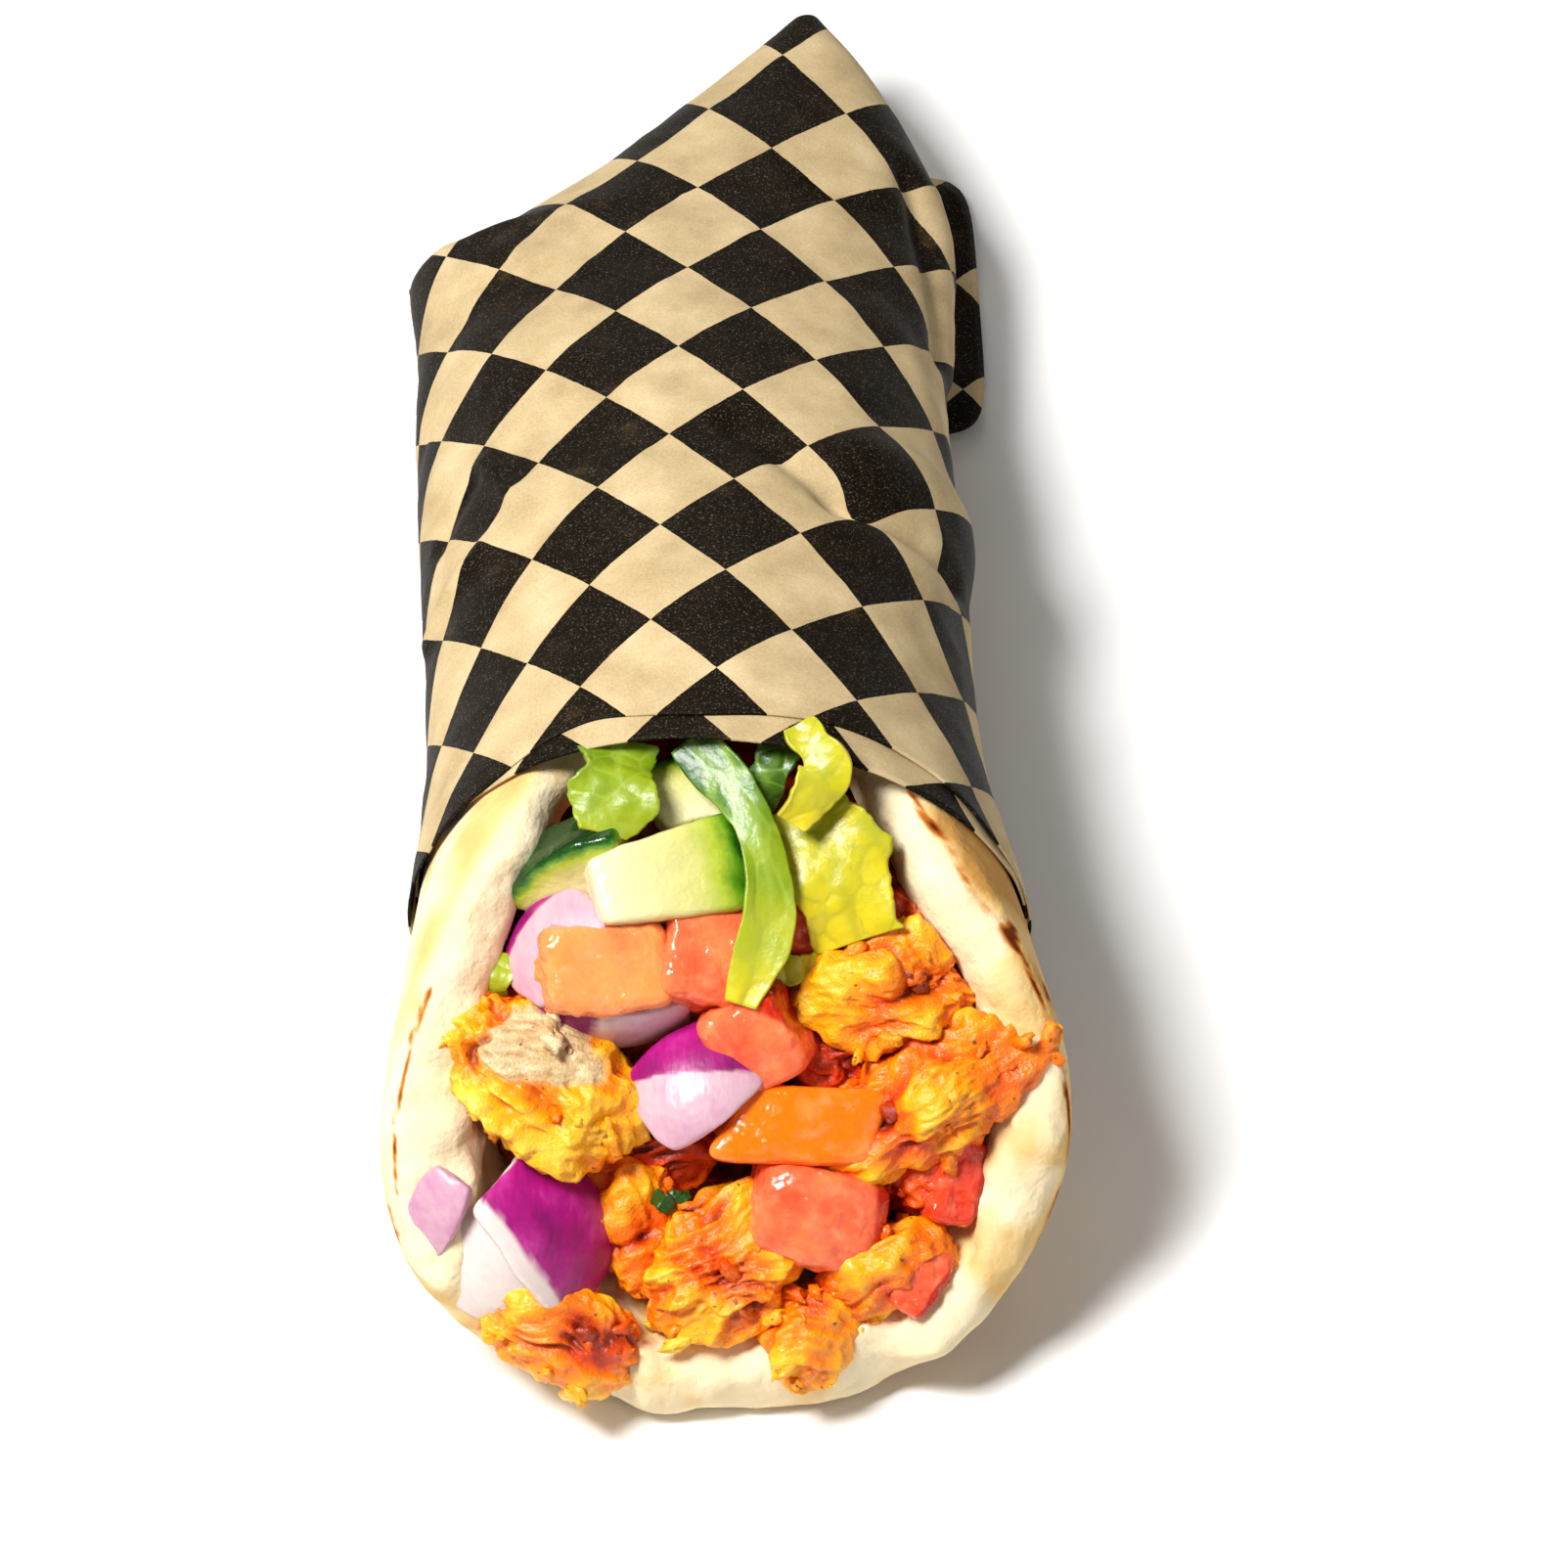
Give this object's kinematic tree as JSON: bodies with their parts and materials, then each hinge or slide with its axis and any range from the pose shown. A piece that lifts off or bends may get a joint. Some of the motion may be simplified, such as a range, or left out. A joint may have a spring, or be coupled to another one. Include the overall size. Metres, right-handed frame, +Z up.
{
  "type": "gyro wrap",
  "caption": "Pita rolled round chicken, tomato, onion, cucumber and lettuce, open at one end and held in checked greaseproof paper folded to a point behind",
  "frame": {"origin": "centre of the footprint on the surface the wrap lies on", "axes": "+Y from the open mouth to the tip of the folded tail, +X to the right seen from the mouth, +Z up"},
  "size_m": [0.0829, 0.2086, 0.0635],
  "materials": {
    "pita": "soft baked bread, matte",
    "paper": "kraft greaseproof paper printed with black checks",
    "core": "moist spiced chicken and salad, in shade",
    "lettuce": "fresh leaf, satin",
    "tomato": "wet cut flesh, glossy",
    "cucumber": "wet pale flesh with dark green skin",
    "onion": "purple skin and white flesh, satin",
    "chicken": "fibrous, moist with yellow-orange spice"
  },
  "bodies": {
    "root": {"pita": "pita", "paper_sleeve": "paper", "filling_core": "core", "lettuce_1": "lettuce", "lettuce_2": "lettuce", "lettuce_3": "lettuce", "lettuce_4": "lettuce", "lettuce_5": "lettuce", "lettuce_6": "lettuce", "lettuce_7": "lettuce", "tomato_1": "tomato", "tomato_2": "tomato", "tomato_3": "tomato", "tomato_4": "tomato", "tomato_5": "tomato", "tomato_6": "tomato", "tomato_7": "tomato", "tomato_8": "tomato", "cucumber_1": "cucumber", "cucumber_2": "cucumber", "cucumber_3": "cucumber", "onion_1": "onion", "onion_2": "onion", "onion_3": "onion", "onion_4": "onion", "onion_5": "onion", "onion_6": "onion", "chicken_1": "chicken", "chicken_2": "chicken", "chicken_3": "chicken", "chicken_4": "chicken", "chicken_5": "chicken", "chicken_6": "chicken", "chicken_7": "chicken", "chicken_8": "chicken", "chicken_9": "chicken", "chicken_10": "chicken", "chicken_11": "chicken", "chicken_12": "chicken"}
  },
  "joints": []
}
